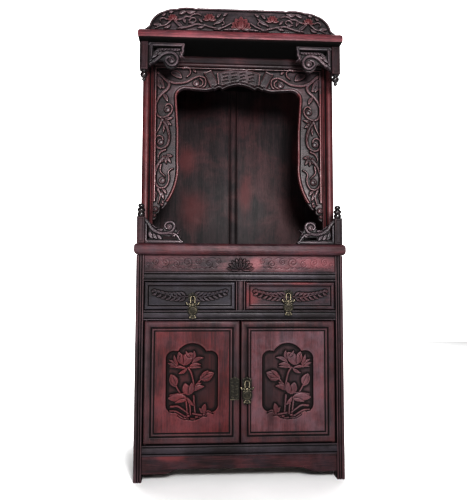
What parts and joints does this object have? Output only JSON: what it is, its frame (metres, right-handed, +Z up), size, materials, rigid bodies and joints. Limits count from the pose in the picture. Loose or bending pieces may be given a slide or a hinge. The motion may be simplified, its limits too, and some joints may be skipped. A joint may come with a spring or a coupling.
{
  "type": "household altar cabinet",
  "caption": "Dark rosewood household altar cabinet: carved arched niche under a canopy and crest, drawers and hinged doors below.",
  "frame": {"origin": "middle of the footprint, on the floor under the feet", "axes": "+Z up, front faces -Y, +X to the right of someone who looks at the front"},
  "size_m": [0.68, 0.478, 1.5324],
  "materials": {
    "dark_rosewood": "oiled, satin, brown-black",
    "worn_red_rosewood": "oiled, worn to red-brown on edges and faces",
    "carved_rosewood": "carved, dark in the ground, rubbed on the high places",
    "ebonised_turnings": "black, polished",
    "inner_boards": "bare softwood, aged",
    "aged_brass": "cast, dark olive-brown with rubbed high places"
  },
  "bodies": {
    "cabinet": {"arch": "carved_rosewood", "back_panel": "inner_boards", "bottom_rail": "dark_rosewood", "bracket_lower_left": "carved_rosewood", "bracket_lower_right": "carved_rosewood", "bracket_upper_left": "carved_rosewood", "bracket_upper_right": "carved_rosewood", "canopy": "worn_red_rosewood", "crest": "carved_rosewood", "drawer_divider": "inner_boards", "drawer_rail": "dark_rosewood", "drawer_upright": "dark_rosewood", "dust_board": "inner_boards", "finial_left": "ebonised_turnings", "finial_right": "ebonised_turnings", "floor_board": "inner_boards", "frieze_board": "carved_rosewood", "frieze_rail": "dark_rosewood", "front_apron": "worn_red_rosewood", "hanging_post_left": "worn_red_rosewood", "hanging_post_right": "worn_red_rosewood", "leg_back_left": "dark_rosewood", "leg_back_right": "dark_rosewood", "leg_front_left": "worn_red_rosewood", "leg_front_right": "worn_red_rosewood", "niche_back_left": "dark_rosewood", "niche_back_right": "dark_rosewood", "niche_muntin": "dark_rosewood", "niche_post_back_left": "dark_rosewood", "niche_post_back_right": "dark_rosewood", "niche_post_front_left": "dark_rosewood", "niche_post_front_right": "dark_rosewood", "niche_side_left": "dark_rosewood", "niche_side_right": "dark_rosewood", "pendant_left": "ebonised_turnings", "pendant_right": "ebonised_turnings", "side_apron_left": "dark_rosewood", "side_apron_right": "dark_rosewood", "side_panel_left": "dark_rosewood", "side_panel_right": "dark_rosewood", "sill": "worn_red_rosewood", "stub_post_left": "worn_red_rosewood", "stub_post_right": "worn_red_rosewood", "top_rail": "dark_rosewood"},
    "door_left": {"door_frame_left": "worn_red_rosewood", "door_panel_left": "carved_rosewood", "door_plate_left": "aged_brass"},
    "door_right": {"door_frame_right": "worn_red_rosewood", "door_panel_right": "carved_rosewood", "door_plate_right": "aged_brass"},
    "door_pull": {"door_pull_right": "aged_brass"},
    "drawer_left": {"drawer_front_left": "carved_rosewood", "drawer_box_left": "inner_boards", "drawer_plate_left": "aged_brass"},
    "drawer_right": {"drawer_front_right": "carved_rosewood", "drawer_box_right": "inner_boards", "drawer_plate_right": "aged_brass"},
    "drawer_pull_l": {"drawer_pull_left": "aged_brass"},
    "drawer_pull_r": {"drawer_pull_right": "aged_brass"}
  },
  "joints": [
    {"name": "door_left_hinge", "type": "hinge", "parent": "cabinet", "child": "door_left", "pos_m": [-0.299, -0.211, 0.307], "axis": [0, 0, -1], "range_deg": [0, 100]},
    {"name": "door_right_hinge", "type": "hinge", "parent": "cabinet", "child": "door_right", "pos_m": [0.299, -0.211, 0.307], "axis": [0, 0, 1], "range_deg": [0, 100]},
    {"name": "drawer_left_slide", "type": "slide", "parent": "cabinet", "child": "drawer_left", "axis": [0, -1, 0], "range_m": [0, 0.27]},
    {"name": "drawer_right_slide", "type": "slide", "parent": "cabinet", "child": "drawer_right", "axis": [0, -1, 0], "range_m": [0, 0.27]},
    {"name": "door_pull_swing", "type": "hinge", "parent": "door_right", "child": "door_pull", "pos_m": [0.021, -0.2248, 0.311], "axis": [-1, 0, 0], "range_deg": [0, 80]},
    {"name": "drawer_pull_left_swing", "type": "hinge", "parent": "drawer_left", "child": "drawer_pull_l", "pos_m": [-0.153, -0.2248, 0.578], "axis": [-1, 0, 0], "range_deg": [0, 80]},
    {"name": "drawer_pull_right_swing", "type": "hinge", "parent": "drawer_right", "child": "drawer_pull_r", "pos_m": [0.154, -0.2248, 0.588], "axis": [-1, 0, 0], "range_deg": [0, 80]}
  ]
}
